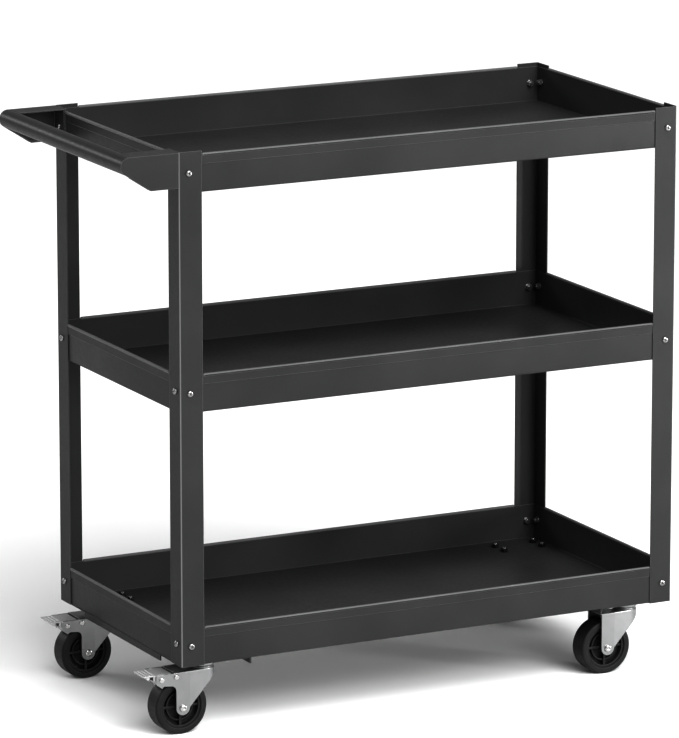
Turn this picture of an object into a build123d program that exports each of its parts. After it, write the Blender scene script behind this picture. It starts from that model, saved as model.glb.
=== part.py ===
from build123d import *
from math import acos, atan2, cos, degrees, hypot, radians, sin, sqrt
import os

# Three-tray steel service cart on swivel casters. Millimetres, +Z up, the long side along X,
# the push handle at the -X end. The origin is on the floor under the middle of the overall box.

# ---------------------------------------------------------------- driving dimensions
frame_length = 766.0        # outside of post to outside of post, along X
frame_width = 400.0         # outside of post to outside of post, along Y

post_height = 711.0
post_leg = 34.0
post_thick = 1.6
post_bend = 1.0             # inside radius of the angle's bend

tray_levels = {"bottom_tray": 0.8, "middle_tray": 352.8, "top_tray": 654.3}  # above the post's foot
tray_height = 53.6
tray_sheet = 1.0
tray_corner = 3.0           # outside radius of the upright corners
tray_fold = 2.2             # outside radius of the fold from floor to wall
hem_height = 15.0           # turned-down outer lip of each wall
bead_radius = 2.0           # rolled top edge
hem_end_gap = 0.6           # from the hem to the edge of the post

side_bolt_inset = 14.8      # from the post's corner, on the long faces
end_bolt_inset = 15.3       # the same, on the end faces
side_bolt_rise = 27.5       # above the tray's underside
end_bolt_rise = 29.5

# machine screws that hold trays and handle to the posts
screw_radius = 2.5
screw_hole_gap = 0.25
screw_head_radius = 4.7
screw_head_height = 3.0
screw_tail = 1.6            # thread that stands out of the nut
nut_flats = 8.0
nut_height = 4.0
washer_radius = 5.0
washer_thick = 1.0

# push handle
tube_radius = 12.7
tube_wall = 1.5
handle_reach = 72.0         # post's end face to the tube's axis
bracket_sheet = 1.5
bracket_top_drop = 0.5      # below the post's top
bracket_height = 48.0
bracket_flange = 33.0       # width of the top flange and of the end tab
bracket_lip_gap = 0.6       # from the lower flange's edge to the screw heads
bracket_flat = 41.0         # length of the level lower edge, from the post
bracket_tube_start = 3.0    # from the tube's axis to where the flanges begin
handle_bolt_pitch = 17.0

# caster rails under the bottom tray
rail_sheet = 2.0
rail_depth = 10.0
rail_inset = 3.0            # from the post's end face to the rail's outer flange
rail_width = 106.0
rail_end_gap = 8.0          # from the post's long face to the rail's end
rail_notch = 76.0           # the outer flange is cut away this far from the long face

# casters
caster_inset_x = 50.4       # post's end face to the swivel axis
caster_inset_y = 44.6       # post's long face to the swivel axis
trail = 37.0                # swivel axis to axle
wheel_radius = 38.5
wheel_width = 30.0
axle_drop = 51.5            # top of the fork to the axle
plate_length = 84.0
plate_width = 48.0
plate_thick = 2.5
plate_corner = 6.0
plate_hole_x = 63.0
plate_hole_y = 27.0
plate_bolt_radius = 3.0
plate_hole_gap = 0.3
plate_nut_flats = 10.0
plate_nut_height = 5.0
plate_bolt_head = 4.0
race_radius = 18.0          # pressed boss of the plate
race_height = 6.8
race_gap = 0.7              # between the boss and the fork's dish
dish_radius = 16.5
dish_height = 1.8
ball_radius = 2.0
ball_pitch = 12.5           # radius of the ring of balls
ball_count = 16
ball_gap = 0.3              # to the fork's groove
kingpin_radius = 5.0
kingpin_fit = 0.06
kingpin_head = 7.6
kingpin_head_height = 1.4
kingpin_foot_height = 2.2
kingpin_foot_gap = 0.3

fork_sheet = 2.3
fork_half = 20.3            # half the width over the legs
fork_nose = 17.5            # outside radius round the swivel axis
fork_nose_depth = 5.0
fork_bend = 1.8
leg_half = 10.2             # half the width of a leg

axle_radius = 3.0
axle_head_radius = 5.4
axle_head_height = 3.4
axle_nut_flats = 10.0
axle_nut_height = 5.5
axle_tail = 1.5
sleeve_radius = 5.0
sleeve_gap = 0.08           # to the axle bolt, and to the wheel's bore as a running fit
thrust_washer = 0.8
thrust_radius = 8.4
hub_play = 0.4              # each side

tyre_depth = 9.0
tyre_shoulder = 3.0
core_rim = 3.0
core_rim_width = 25.0
core_web = 5.0
core_ring_radius = 19.5
core_ring_width = 17.0
core_ring_thick = 1.6
hub_radius = 9.0
rib_thick = 3.0
rib_width = 20.0
rib_count = 4

# brakes of the two casters at the handle end
shoe_pin_back = 46.9        # behind the swivel axis
shoe_pin_drop = 6.6         # below the fork's top
pedal_pin_back = 69.0
pedal_pin_drop = 8.6
brake_pin_radius = 2.4
brake_pin_fit = 0.08
brake_pin_head = 3.8
brake_pin_head_height = 1.9
cheek_back = 77.0
cheek_drop = 19.3           # below the fork's top, beside the leg
cheek_end_drop = 16.8       # the same, at the free end
cheek_top_drop = 1.2
cheek_end_round = 6.0
cheek_fillet = 8.0
bridge_back = 50.5          # rear edge of the fork's top plate
pedal_half = 17.2
pedal_sheet = 1.7
pedal_tip_back = 94.0
pedal_root_back = 53.0
pedal_top_drop = 1.2
pedal_flange_back = 80.0
pedal_ear = 8.0             # radius of the flange round the pin
pedal_rib_count = 3
pedal_rib_pitch = 5.5
pedal_rib_height = 0.8
pedal_rib_end = 4.0         # from the pedal's edges to the ribs
pedal_bar_radius = 2.5      # stiffening bar under the tip
pedal_bar_back = 87.5
push_rod_radius = 1.6
push_rod_wall = 1.0
push_rod_gap = 0.3          # to the back of the shoe
push_rod_turn = 132.5       # place round the axle, in degrees from +X
shoe_gap = 1.6              # shoe lip to tread with the pedal up
shoe_sheet = 2.0
shoe_lip = 5.3
shoe_half = 13.0
shoe_ear = 3.9
shoe_start = 104.0          # round the axle, in degrees from +X
shoe_end = 134.5
shoe_lip_span = 7.0

seat = 0.02                 # between pressed or bonded cylinders of one body

# ---------------------------------------------------------------- derived places
axle_z = wheel_radius
fork_top = axle_z + axle_drop
dish_top = fork_top + dish_height
race_low = dish_top + race_gap
plate_low = race_low + race_height
plate_top = plate_low + plate_thick
rail_top = plate_top + rail_sheet
foot_z = rail_top - tray_levels["bottom_tray"]
post_top = foot_z + post_height
bracket_lip = end_bolt_inset - screw_head_radius - bracket_lip_gap
frame_x = (handle_reach + tube_radius - screw_head_height) / 2
half_length = frame_length / 2
half_width = frame_width / 2
bracket_top = post_top - bracket_top_drop
tube_z = bracket_top - tube_radius
tube_x = frame_x - half_length - handle_reach
fork_inner = fork_half - fork_sheet
sleeve_length = 2 * (fork_inner - thrust_washer)
hub_width = sleeve_length - 2 * hub_play
shoe_pin = (-shoe_pin_back, fork_top - shoe_pin_drop)
pedal_pin = (-pedal_pin_back, fork_top - pedal_pin_drop)
shoe_back = wheel_radius + shoe_gap + shoe_lip

CORNERS = {
    "front_left": (-1, -1),
    "rear_left": (-1, 1),
    "front_right": (1, -1),
    "rear_right": (1, 1),
}
BRAKED = ("front_left", "rear_left")


def save(solids, name):
    solids = solids if isinstance(solids, list) else [solids]
    pieces = []
    for item in solids:
        pieces.extend(item.solids())
    shape = pieces[0] if len(pieces) == 1 else Compound(children=pieces)
    export_step(shape, f"parts/{name}.step")


def block(x0, x1, y0, y1, z0, z1):
    """Box given by its two opposite corners, in any order."""
    centre = ((x0 + x1) / 2, (y0 + y1) / 2, (z0 + z1) / 2)
    return Pos(*centre) * Box(abs(x1 - x0), abs(y1 - y0), abs(z1 - z0))


def rod(start, end, radius):
    """Round bar between two points."""
    axis = Vector(*end) - Vector(*start)
    middle = (Vector(*end) + Vector(*start)) * 0.5
    return Plane(middle, z_dir=axis).location * Cylinder(radius, axis.length)


def side_extrude(face, y0, y1):
    """Extrude an outline drawn as (x, z) between two Y planes."""
    upright = Plane(origin=(0, y1, 0), x_dir=(1, 0, 0), z_dir=(0, -1, 0))
    return extrude(upright * face, y1 - y0)


def hexagon(flats, height):
    """Hexagonal nut blank standing on Z = 0, its corners turned down at both ends."""
    turned = Pos(0, 0, height / 2) * Cylinder(flats / sqrt(3), height)
    turned = chamfer(turned.edges().filter_by(GeomType.CIRCLE), height * 0.12)
    return extrude(RegularPolygon(flats / 2, 6, major_radius=False), height) & turned


# ---------------------------------------------------------------- posts, trays and their screws
def tray_floor_z(level):
    return foot_z + tray_levels[level]


def screw_points():
    """Every tray screw: (point on the post's face, outward direction, top left end screw or not)."""
    points = []
    for sx, sy in CORNERS.values():
        for level in tray_levels:
            z = tray_floor_z(level)
            x_side = frame_x + sx * (half_length - side_bolt_inset)
            points.append(((x_side, sy * half_width, z + side_bolt_rise), (0, sy, 0), False))
            y_end = sy * (half_width - end_bolt_inset)
            x_end = frame_x + sx * half_length
            on_handle = sx < 0 and level == "top_tray"
            points.append(((x_end, y_end, z + end_bolt_rise), (sx, 0, 0), on_handle))
    return points


def handle_screw_points():
    upper = [point for point, _, on_handle in screw_points() if on_handle]
    lower = [(x, y, z - handle_bolt_pitch) for x, y, z in upper]
    return upper + lower


def screw_holes():
    """Cutting rods for every screw that goes through a post and a tray wall."""
    radius = screw_radius + screw_hole_gap
    depth = post_thick + tray_sheet + bracket_sheet + 2
    rods = []
    for point, out, _ in screw_points():
        rods.append((point, out))
    for point in handle_screw_points():
        rods.append((point, (-1, 0, 0)))
    return [
        rod(Vector(*p) + Vector(*o) * (bracket_sheet + 2), Vector(*p) - Vector(*o) * depth, radius)
        for p, o in rods
    ]


SCREW_HOLES = screw_holes()


def near_holes(shape):
    box = shape.bounding_box()
    found = []
    for hole in SCREW_HOLES:
        h = hole.bounding_box()
        apart = (
            h.min.X > box.max.X or h.max.X < box.min.X
            or h.min.Y > box.max.Y or h.max.Y < box.min.Y
            or h.min.Z > box.max.Z or h.max.Z < box.min.Z
        )
        if not apart:
            found.append(hole)
    return found


def post(sx, sy):
    outer = post_thick + post_bend
    x0 = frame_x + sx * half_length
    y0 = sy * half_width
    angle = block(x0, x0 - sx * post_leg, y0, y0 - sy * post_leg, foot_z, post_top)
    corner = angle.edges().filter_by(Axis.Z)
    corner = [e for e in corner if abs(e.center().X - x0) < 0.1 and abs(e.center().Y - y0) < 0.1]
    angle = fillet(corner, outer)
    xi, yi = x0 - sx * post_thick, y0 - sy * post_thick
    hollow = block(xi, xi - sx * post_leg, yi, yi - sy * post_leg, foot_z - 1, post_top + 1)
    inner = hollow.edges().filter_by(Axis.Z)
    inner = [e for e in inner if abs(e.center().X - xi) < 0.1 and abs(e.center().Y - yi) < 0.1]
    hollow = fillet(inner, post_bend)
    return angle - hollow - near_holes(angle)


def hem(side, along, floor_z):
    """Turned-down lip and rolled bead of one wall, between the posts: side is +-1 along an axis."""
    wall = (half_width if along == "x" else half_length) - post_thick
    reach = (half_length if along == "x" else half_width) - post_leg - hem_end_gap
    rim = floor_z + tray_height
    bead_z = rim - bead_radius
    face = wall * side
    out = (wall + tray_sheet) * side
    fold = (wall + tray_sheet / 2) * side
    if along == "x":
        strip = block(frame_x - reach, frame_x + reach, face, out, rim - hem_height, bead_z)
        ends = [(frame_x - reach + bead_radius, fold, bead_z), (frame_x + reach - bead_radius, fold, bead_z)]
    else:
        strip = block(frame_x + face, frame_x + out, -reach, reach, rim - hem_height, bead_z)
        ends = [(frame_x + fold, -reach + bead_radius, bead_z), (frame_x + fold, reach - bead_radius, bead_z)]
    bead = rod(ends[0], ends[1], bead_radius)
    for end in ends:
        bead += Pos(*end) * Sphere(bead_radius)
    return strip + bead


def tray(level):
    floor_z = tray_floor_z(level)
    length = frame_length - 2 * post_thick
    width = frame_width - 2 * post_thick
    wall_top = floor_z + tray_height - bead_radius
    pan = block(
        frame_x - length / 2, frame_x + length / 2, -width / 2, width / 2, floor_z, wall_top
    )
    pan = fillet(pan.edges().filter_by(Axis.Z), tray_corner)
    pan = fillet(pan.faces().sort_by(Axis.Z)[0].edges(), tray_fold)
    inner_l, inner_w = length / 2 - tray_sheet, width / 2 - tray_sheet
    hollow = block(
        frame_x - inner_l, frame_x + inner_l, -inner_w, inner_w, floor_z + tray_sheet, wall_top + 5
    )
    hollow = fillet(hollow.edges().filter_by(Axis.Z), tray_corner - tray_sheet)
    hollow = fillet(hollow.faces().sort_by(Axis.Z)[0].edges(), tray_fold - tray_sheet)
    pan = pan - hollow
    for side in (-1, 1):
        pan += hem(side, "x", floor_z)
        pan += hem(side, "y", floor_z)
    pan -= near_holes(pan)
    if level == "bottom_tray":
        pan -= plate_bolt_rods(plate_bolt_radius + plate_hole_gap)
    return pan


def pan_screw(grip):
    """Pan-head screw with a cross recess: the head sits on Z = 0, the thread goes down."""
    head = Pos(0, 0, screw_head_height / 2) * Cylinder(screw_head_radius, screw_head_height)
    head = fillet(head.edges().group_by(Axis.Z)[-1], screw_head_height * 0.62)
    slot = screw_head_radius * 0.95
    width = screw_head_radius * 0.21
    depth = screw_head_height * 0.5
    recess_z = screw_head_height - depth / 2
    head -= Pos(0, 0, recess_z) * Box(slot, width, depth)
    head -= Pos(0, 0, recess_z) * Box(width, slot, depth)
    length = grip + washer_thick + nut_height + screw_tail
    thread = Pos(0, 0, -length / 2) * Cylinder(screw_radius, length)
    thread = chamfer(thread.edges().group_by(Axis.Z)[0], 0.5)
    return head + thread


def facing(point, out):
    """Place a fastener drawn about Z so that its head faces along out from the point."""
    return Plane(Vector(*point), z_dir=Vector(*out)).location


def screw_nut(grip):
    nut = hexagon(nut_flats, nut_height) - Cylinder(screw_radius + seat, 4 * nut_height)
    return Pos(0, 0, -grip - washer_thick - nut_height) * nut


def screw_washer(grip):
    washer = Cylinder(washer_radius, washer_thick) - Cylinder(screw_radius + screw_hole_gap, 9)
    return Pos(0, 0, -grip - washer_thick / 2) * washer


# ---------------------------------------------------------------- push handle
def handle_tube():
    reach = half_width - bracket_sheet
    outside = rod((tube_x, -reach, tube_z), (tube_x, reach, tube_z), tube_radius)
    inside = rod((tube_x, -reach - 1, tube_z), (tube_x, reach + 1, tube_z), tube_radius - tube_wall)
    return outside - inside


def bracket_outline(shrink):
    """Side outline of a bracket as (x, z): level top, round end, sloping then level lower edge."""
    end_x = frame_x - half_length - shrink
    top = bracket_top - shrink
    low = bracket_top - bracket_height + shrink
    radius = tube_radius - shrink
    knee = (frame_x - half_length - bracket_flat, low)
    dx, dz = knee[0] - tube_x, knee[1] - tube_z
    angle = atan2(dz, dx) - acos(radius / hypot(dx, dz))
    touch = (tube_x + radius * cos(angle), tube_z + radius * sin(angle))
    far = (tube_x - radius, tube_z)
    crown = (tube_x, tube_z + radius)
    middle = radians(degrees(angle) / 2 - 90)
    through = (tube_x + radius * cos(middle), tube_z + radius * sin(middle))
    path = Line((end_x, low), knee) + Line(knee, touch)
    path += ThreePointArc(touch, through, far)
    path += ThreePointArc(
        far, (tube_x - radius * sqrt(0.5), tube_z + radius * sqrt(0.5)), crown
    )
    path += Line(crown, (end_x, top)) + Line((end_x, top), (end_x, low))
    return make_face(path)


def handle_bracket(sy):
    """Pressed C-shaped arm: outer plate, top flange, lower lip and a tab on the post's end face."""
    y_out = sy * half_width
    y_plate = sy * (half_width - bracket_sheet)
    y_in = sy * (half_width - bracket_flange)
    y_lip = sy * (half_width - bracket_lip)
    body = side_extrude(bracket_outline(0), min(y_out, y_in), max(y_out, y_in))
    hollow_in = y_in - sy
    hollow = side_extrude(bracket_outline(bracket_sheet), min(y_plate, hollow_in), max(y_plate, hollow_in))
    body -= hollow
    start_x = tube_x + bracket_tube_start
    body -= block(start_x, tube_x - 2 * tube_radius, y_plate, hollow_in, foot_z, post_top + 1)
    body -= rod((tube_x, y_plate, tube_z), (tube_x, hollow_in, tube_z), tube_radius + seat)
    end_x = frame_x - half_length
    low_cut_top = bracket_top - bracket_sheet - 1
    body -= block(start_x, end_x - bracket_sheet, y_lip, hollow_in, foot_z, low_cut_top)
    return body - near_holes(body)


# ---------------------------------------------------------------- caster rails
def caster_points():
    return {
        name: (frame_x + sx * (half_length - caster_inset_x), sy * (half_width - caster_inset_y))
        for name, (sx, sy) in CORNERS.items()
    }


def plate_bolt_points():
    points = []
    for cx, cy in caster_points().values():
        for dx in (-plate_hole_x / 2, plate_hole_x / 2):
            for dy in (-plate_hole_y / 2, plate_hole_y / 2):
                points.append((cx + dx, cy + dy))
    return points


def plate_bolt_rods(radius):
    return [rod((x, y, plate_low - 5), (x, y, rail_top + 5), radius) for x, y in plate_bolt_points()]


def caster_rail(sx):
    """Channel, open side down, that spreads the two casters' load over the tray's floor."""
    outer_x = frame_x + sx * (half_length - rail_inset)
    inner_x = outer_x - sx * rail_width
    reach = half_width - rail_end_gap
    low = rail_top - rail_depth
    body = block(outer_x, inner_x, -reach, reach, low, rail_top)
    bend = [e for e in body.edges().filter_by(Axis.Y) if e.center().Z > rail_top - 0.1]
    body = fillet(bend, rail_sheet)
    body -= block(
        outer_x - sx * rail_sheet, inner_x + sx * rail_sheet, -reach - 1, reach + 1, low - 1, plate_top
    )
    for sy in (-1, 1):
        body -= block(
            outer_x + sx, outer_x - 2 * sx * rail_sheet,
            sy * (half_width - rail_notch), sy * half_width, low - 1, plate_top
        )
    return body - plate_bolt_rods(plate_bolt_radius + plate_hole_gap)


def plate_bolt():
    """Hexagon bolt with its head down: the head's top face is on Z = 0."""
    length = plate_thick + rail_sheet + tray_sheet + plate_nut_height + screw_tail
    shank = Pos(0, 0, length / 2) * Cylinder(plate_bolt_radius, length)
    shank = chamfer(shank.edges().group_by(Axis.Z)[-1], 0.6)
    return shank + Pos(0, 0, -plate_bolt_head) * hexagon(plate_nut_flats, plate_bolt_head)


# ---------------------------------------------------------------- casters, drawn about their swivel axis
def swivel_plate():
    plate = Pos(0, 0, plate_low + plate_thick / 2) * Box(plate_length, plate_width, plate_thick)
    plate = fillet(plate.edges().filter_by(Axis.Z), plate_corner)
    boss = Pos(0, 0, race_low + race_height / 2) * Cylinder(race_radius, race_height)
    boss = fillet(boss.edges().group_by(Axis.Z)[0], 1.5)
    plate += boss
    head_seat = plate_top - kingpin_head_height
    plate -= Pos(0, 0, head_seat + 5) * Cylinder(kingpin_head + seat, 10)
    plate -= Pos(0, 0, plate_low) * Cylinder(kingpin_radius + seat, 40)
    plate -= Pos(0, 0, dish_top + race_gap / 2) * Torus(ball_pitch, ball_radius + seat)
    hole = plate_bolt_radius + plate_hole_gap
    for dx in (-plate_hole_x / 2, plate_hole_x / 2):
        for dy in (-plate_hole_y / 2, plate_hole_y / 2):
            plate -= rod((dx, dy, plate_low - 1), (dx, dy, plate_top + 1), hole)
    return plate


def kingpin():
    """Rivet that carries the fork: head let into the plate, foot spread under the fork."""
    foot_top = fork_top - fork_sheet - kingpin_foot_gap
    foot_low = foot_top - kingpin_foot_height
    pin = rod((0, 0, foot_low), (0, 0, plate_top), kingpin_radius)
    head = rod((0, 0, plate_top - kingpin_head_height), (0, 0, plate_top), kingpin_head)
    foot = rod((0, 0, foot_low), (0, 0, foot_top), kingpin_head)
    foot = fillet(foot.edges().group_by(Axis.Z)[0], 1.2)
    return pin + head + foot


def swivel_balls():
    z = dish_top + race_gap / 2
    balls = []
    for i in range(ball_count):
        turn = radians(360 * i / ball_count)
        balls.append(Pos(ball_pitch * cos(turn), ball_pitch * sin(turn), z) * Sphere(ball_radius))
    return balls


def fork_plan(half, nose, rear):
    """Outline seen from above: two straight legs that close on a round nose at the swivel axis."""
    crease = -trail + leg_half
    angle = atan2(-half, crease) + acos(nose / hypot(crease, half))
    touch = (nose * cos(angle), nose * sin(angle))
    corners = [(rear, -half), (crease, -half), touch, (touch[0], -touch[1]), (crease, half), (rear, half)]
    return make_face(Polyline(*corners, close=True)) + Circle(nose)


def corner_at(face, x, y):
    """The one corner of a flat outline that lies at the given place."""
    return [v for v in face.vertices() if hypot(v.X - x, v.Y - y) < 0.01]


def fork_side(braked):
    """Outline seen from the side, as (x, z): leg, sloping front edge, and cheeks where braked."""
    front = -trail + leg_half
    back = -trail - leg_half
    path = Line((fork_nose + 1, fork_top + 1), (fork_nose + 1, fork_top - fork_nose_depth))
    path += Line((fork_nose + 1, fork_top - fork_nose_depth), (front, axle_z))
    path += ThreePointArc((front, axle_z), (-trail, axle_z - leg_half), (back, axle_z))
    if not braked:
        path += Line((back, axle_z), (back, fork_top + 1))
        path += Line((back, fork_top + 1), (fork_nose + 1, fork_top + 1))
        return make_face(path)
    inner_low = fork_top - cheek_drop
    outer_low = fork_top - cheek_end_drop
    top = fork_top - cheek_top_drop
    edge = [
        (back, axle_z), (back, inner_low), (-cheek_back, outer_low), (-cheek_back, top),
        (-bridge_back, top), (-bridge_back, fork_top + 1), (fork_nose + 1, fork_top + 1),
    ]
    path += Polyline(*edge)
    face = make_face(path)
    face = fillet(corner_at(face, back, inner_low), cheek_fillet)
    face = fillet(corner_at(face, -cheek_back, outer_low), cheek_end_round)
    return fillet(corner_at(face, -cheek_back, top), 2)


def fork(braked):
    rear = -cheek_back - 1 if braked else -trail - leg_half - 1
    low = axle_z - leg_half - 1
    body = Pos(0, 0, low) * extrude(fork_plan(fork_half, fork_nose, rear), fork_top - low)
    body = fillet(body.faces().sort_by(Axis.Z)[-1].edges(), fork_bend)
    inner_nose = fork_nose - fork_sheet
    hollow = extrude(fork_plan(fork_inner, inner_nose, rear - 5), fork_top - fork_sheet - low + 1)
    body -= Pos(0, 0, low - 1) * hollow
    body &= side_extrude(fork_side(braked), -fork_half - 1, fork_half + 1)
    if braked:
        body -= block(-bridge_back, rear - 5, -fork_inner, fork_inner, 0, fork_top + 5)
        for x, z in (shoe_pin, pedal_pin):
            body -= rod((x, -fork_half - 5, z), (x, fork_half + 5, z), brake_pin_radius + seat)
    dish = rod((0, 0, fork_top - 1), (0, 0, dish_top), dish_radius)
    dish = fillet(dish.edges().group_by(Axis.Z)[-1], 0.8)
    body += dish
    body -= rod((0, 0, 0), (0, 0, dish_top + 5), kingpin_radius + kingpin_fit)
    body -= Pos(0, 0, dish_top + race_gap / 2) * Torus(ball_pitch, ball_radius + ball_gap)
    body -= rod((-trail, -50, axle_z), (-trail, 50, axle_z), axle_radius + sleeve_gap)
    return body


def axle_bolt():
    """Button-head bolt through both legs: head at the -Y side."""
    length = 2 * fork_half + axle_nut_height + axle_tail
    head = Pos(0, 0, axle_head_height / 2) * Cylinder(axle_head_radius, axle_head_height)
    head = fillet(head.edges().group_by(Axis.Z)[-1], axle_head_height * 0.7)
    socket = extrude(RegularPolygon(2.0, 6, major_radius=False), 2)
    head -= Pos(0, 0, axle_head_height - 2) * socket
    thread = Pos(0, 0, -length / 2) * Cylinder(axle_radius, length)
    thread = chamfer(thread.edges().group_by(Axis.Z)[0], 0.5)
    return facing((-trail, -fork_half, axle_z), (0, -1, 0)) * (head + thread)


def axle_nut():
    nut = hexagon(axle_nut_flats, axle_nut_height) - Cylinder(axle_radius + seat, 40)
    return facing((-trail, fork_half, axle_z), (0, 1, 0)) * nut


def axle_sleeve():
    half = sleeve_length / 2
    outside = rod((-trail, -half, axle_z), (-trail, half, axle_z), sleeve_radius)
    return outside - rod((-trail, -50, axle_z), (-trail, 50, axle_z), axle_radius + sleeve_gap)


def thrust_washers():
    rings = []
    for side in (-1, 1):
        start = (-trail, side * (fork_inner - thrust_washer), axle_z)
        end = (-trail, side * fork_inner, axle_z)
        ring = rod(start, end, thrust_radius)
        rings.append(ring - rod((-trail, -50, axle_z), (-trail, 50, axle_z), axle_radius + sleeve_gap))
    return rings


def about_axle(face):
    """Turn an outline drawn as (radius, y) once round the wheel's axle."""
    turned = revolve(Plane.XY * face, Axis.Y)
    return Pos(-trail, 0, axle_z) * turned


def tyre():
    inside = wheel_radius - tyre_depth + seat
    outline = Pos((wheel_radius + inside) / 2, 0) * Rectangle(wheel_radius - inside, wheel_width)
    outer = [v for v in outline.vertices() if v.X > wheel_radius - 0.1]
    outline = fillet(outer, tyre_shoulder)
    inner = [v for v in outline.vertices() if v.X < inside + 0.1]
    return about_axle(chamfer(inner, 1.2))


def wheel_core():
    """Moulded hub, web and rim, with ribs on both faces and a thin ring half way out."""
    rim_out = wheel_radius - tyre_depth
    rim_mid = rim_out - core_rim / 2
    outline = Pos(rim_mid, 0) * Rectangle(core_rim, core_rim_width)
    outline += Pos(rim_out / 2, 0) * Rectangle(rim_out - core_rim / 2, core_web)
    outline += Pos(hub_radius / 2, 0) * Rectangle(hub_radius, hub_width)
    outline += Pos(core_ring_radius, 0) * Rectangle(core_ring_thick, core_ring_width)
    core = about_axle(outline)
    length = rim_out - core_rim / 2
    for i in range(rib_count):
        rib = Pos(length / 2, 0, 0) * Box(length, rib_width, rib_thick)
        core += Pos(-trail, 0, axle_z) * Rot(0, 360 * i / rib_count, 0) * rib
    return core - rod((-trail, -50, axle_z), (-trail, 50, axle_z), sleeve_radius + sleeve_gap)


# ---------------------------------------------------------------- brakes
def brake_pins():
    pins = []
    for x, z in (shoe_pin, pedal_pin):
        pin = rod((x, -fork_half, z), (x, fork_half, z), brake_pin_radius)
        for side in (-1, 1):
            end = side * (fork_half + brake_pin_head_height)
            head = rod((x, side * fork_half, z), (x, end, z), brake_pin_head)
            circles = head.edges().filter_by(GeomType.CIRCLE)
            rim = [e for e in circles if abs(e.center().Y - end) < 0.1]
            pin += fillet(rim, brake_pin_head_height * 0.7)
        pins.append(pin)
    return pins


def push_rod_point():
    """Middle of the pedal's push rod, just behind the back of the shoe."""
    reach = shoe_back + push_rod_gap + push_rod_radius
    turn = radians(push_rod_turn)
    return -trail + reach * cos(turn), axle_z + reach * sin(turn)


def brake_pedal():
    """Pressed treadle: ribbed plate, a flange down each side, and the rod that pushes the shoe."""
    top = fork_top - pedal_top_drop
    tread = block(-pedal_tip_back, -pedal_root_back, -pedal_half, pedal_half, top - pedal_sheet, top)
    px, pz = pedal_pin
    front = px + pedal_ear
    outline = make_face(
        Polyline(
            (-pedal_flange_back, top - pedal_sheet), (-pedal_flange_back, pz),
            (px, pz - pedal_ear), (front, pz), (front, top - pedal_sheet), close=True
        )
    )
    outline += Pos(px, pz) * Circle(pedal_ear)
    rod_x, rod_z = push_rod_point()
    outline += Pos(rod_x, rod_z) * Circle(push_rod_radius + push_rod_wall)
    pedal = tread
    for side in (-1, 1):
        outside = side * pedal_half
        inside = side * (pedal_half - pedal_sheet)
        pedal += side_extrude(outline, min(outside, inside), max(outside, inside))
    pedal += rod((rod_x, -pedal_half, rod_z), (rod_x, pedal_half, rod_z), push_rod_radius)
    for i in range(pedal_rib_count):
        x = -pedal_tip_back + pedal_rib_end + i * pedal_rib_pitch
        ends = [(x, side * (pedal_half - pedal_rib_end), top) for side in (-1, 1)]
        rib = rod(ends[0], ends[1], pedal_rib_height)
        pedal += rib & block(x - 3, x + 3, -pedal_half, pedal_half, top - pedal_sheet, top + 2)
    bar_z = top - pedal_sheet - 0.8 * pedal_bar_radius
    bar_half = pedal_half - pedal_sheet
    pedal += rod((-pedal_bar_back, -bar_half, bar_z), (-pedal_bar_back, bar_half, bar_z), pedal_bar_radius)
    return pedal - rod((px, -50, pz), (px, 50, pz), brake_pin_radius + brake_pin_fit)


def sector(r0, r1, start, end):
    """Piece of a ring round the axle as (x, z), between two angles from +X."""
    def at(radius, angle):
        return -trail + radius * cos(radians(angle)), axle_z + radius * sin(radians(angle))

    middle = (start + end) / 2
    path = ThreePointArc(at(r0, start), at(r0, middle), at(r0, end))
    path += Line(at(r0, end), at(r1, end))
    path += ThreePointArc(at(r1, end), at(r1, middle), at(r1, start))
    path += Line(at(r1, start), at(r0, start))
    return make_face(path)


def brake_shoe():
    """Pressed shoe on its own pin: a plate curved over the tread, with a lip that grips it."""
    under = shoe_back - shoe_sheet
    plate = side_extrude(sector(under, shoe_back, shoe_start, shoe_end), -shoe_half, shoe_half)
    lip = sector(wheel_radius + shoe_gap, shoe_back, shoe_end - shoe_lip_span, shoe_end)
    plate += side_extrude(lip, -shoe_half, shoe_half)
    x, z = shoe_pin
    reach = hypot(x + trail, z - axle_z)
    angle = degrees(atan2(z - axle_z, x + trail))
    arm = sector(under, reach + 1, shoe_start, angle + 14)
    ear = Pos(x, z) * Circle(shoe_ear) + arm
    for side in (-1, 1):
        outside = side * shoe_half
        inside = side * (shoe_half - shoe_sheet)
        plate += side_extrude(ear, min(outside, inside), max(outside, inside))
    return plate - rod((x, -50, z), (x, 50, z), brake_pin_radius + brake_pin_fit)


# ---------------------------------------------------------------- write every sub-part
os.makedirs("parts", exist_ok=True)

for corner_name, (side_x, side_y) in CORNERS.items():
    save(post(side_x, side_y), f"post_{corner_name}")
for tray_name in tray_levels:
    save(tray(tray_name), tray_name)

tray_grip = post_thick + tray_sheet
tray_screws = [facing(p, o) for p, o, on_handle in screw_points() if not on_handle]
save([at * pan_screw(tray_grip) for at in tray_screws], "tray_screws")
save([at * screw_nut(tray_grip) for at in tray_screws], "tray_nuts")
save([at * screw_washer(tray_grip) for at in tray_screws], "tray_washers")

handle_grip = tray_grip + bracket_sheet
handle_screws = [
    facing((x - bracket_sheet, y, z), (-1, 0, 0)) for x, y, z in handle_screw_points()
]
save([at * pan_screw(handle_grip) for at in handle_screws], "handle_screws")
save([at * screw_nut(handle_grip) for at in handle_screws], "handle_nuts")
save([at * screw_washer(handle_grip) for at in handle_screws], "handle_washers")
save(handle_tube(), "handle_tube")
save(handle_bracket(-1), "handle_bracket_front")
save(handle_bracket(1), "handle_bracket_rear")

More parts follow.
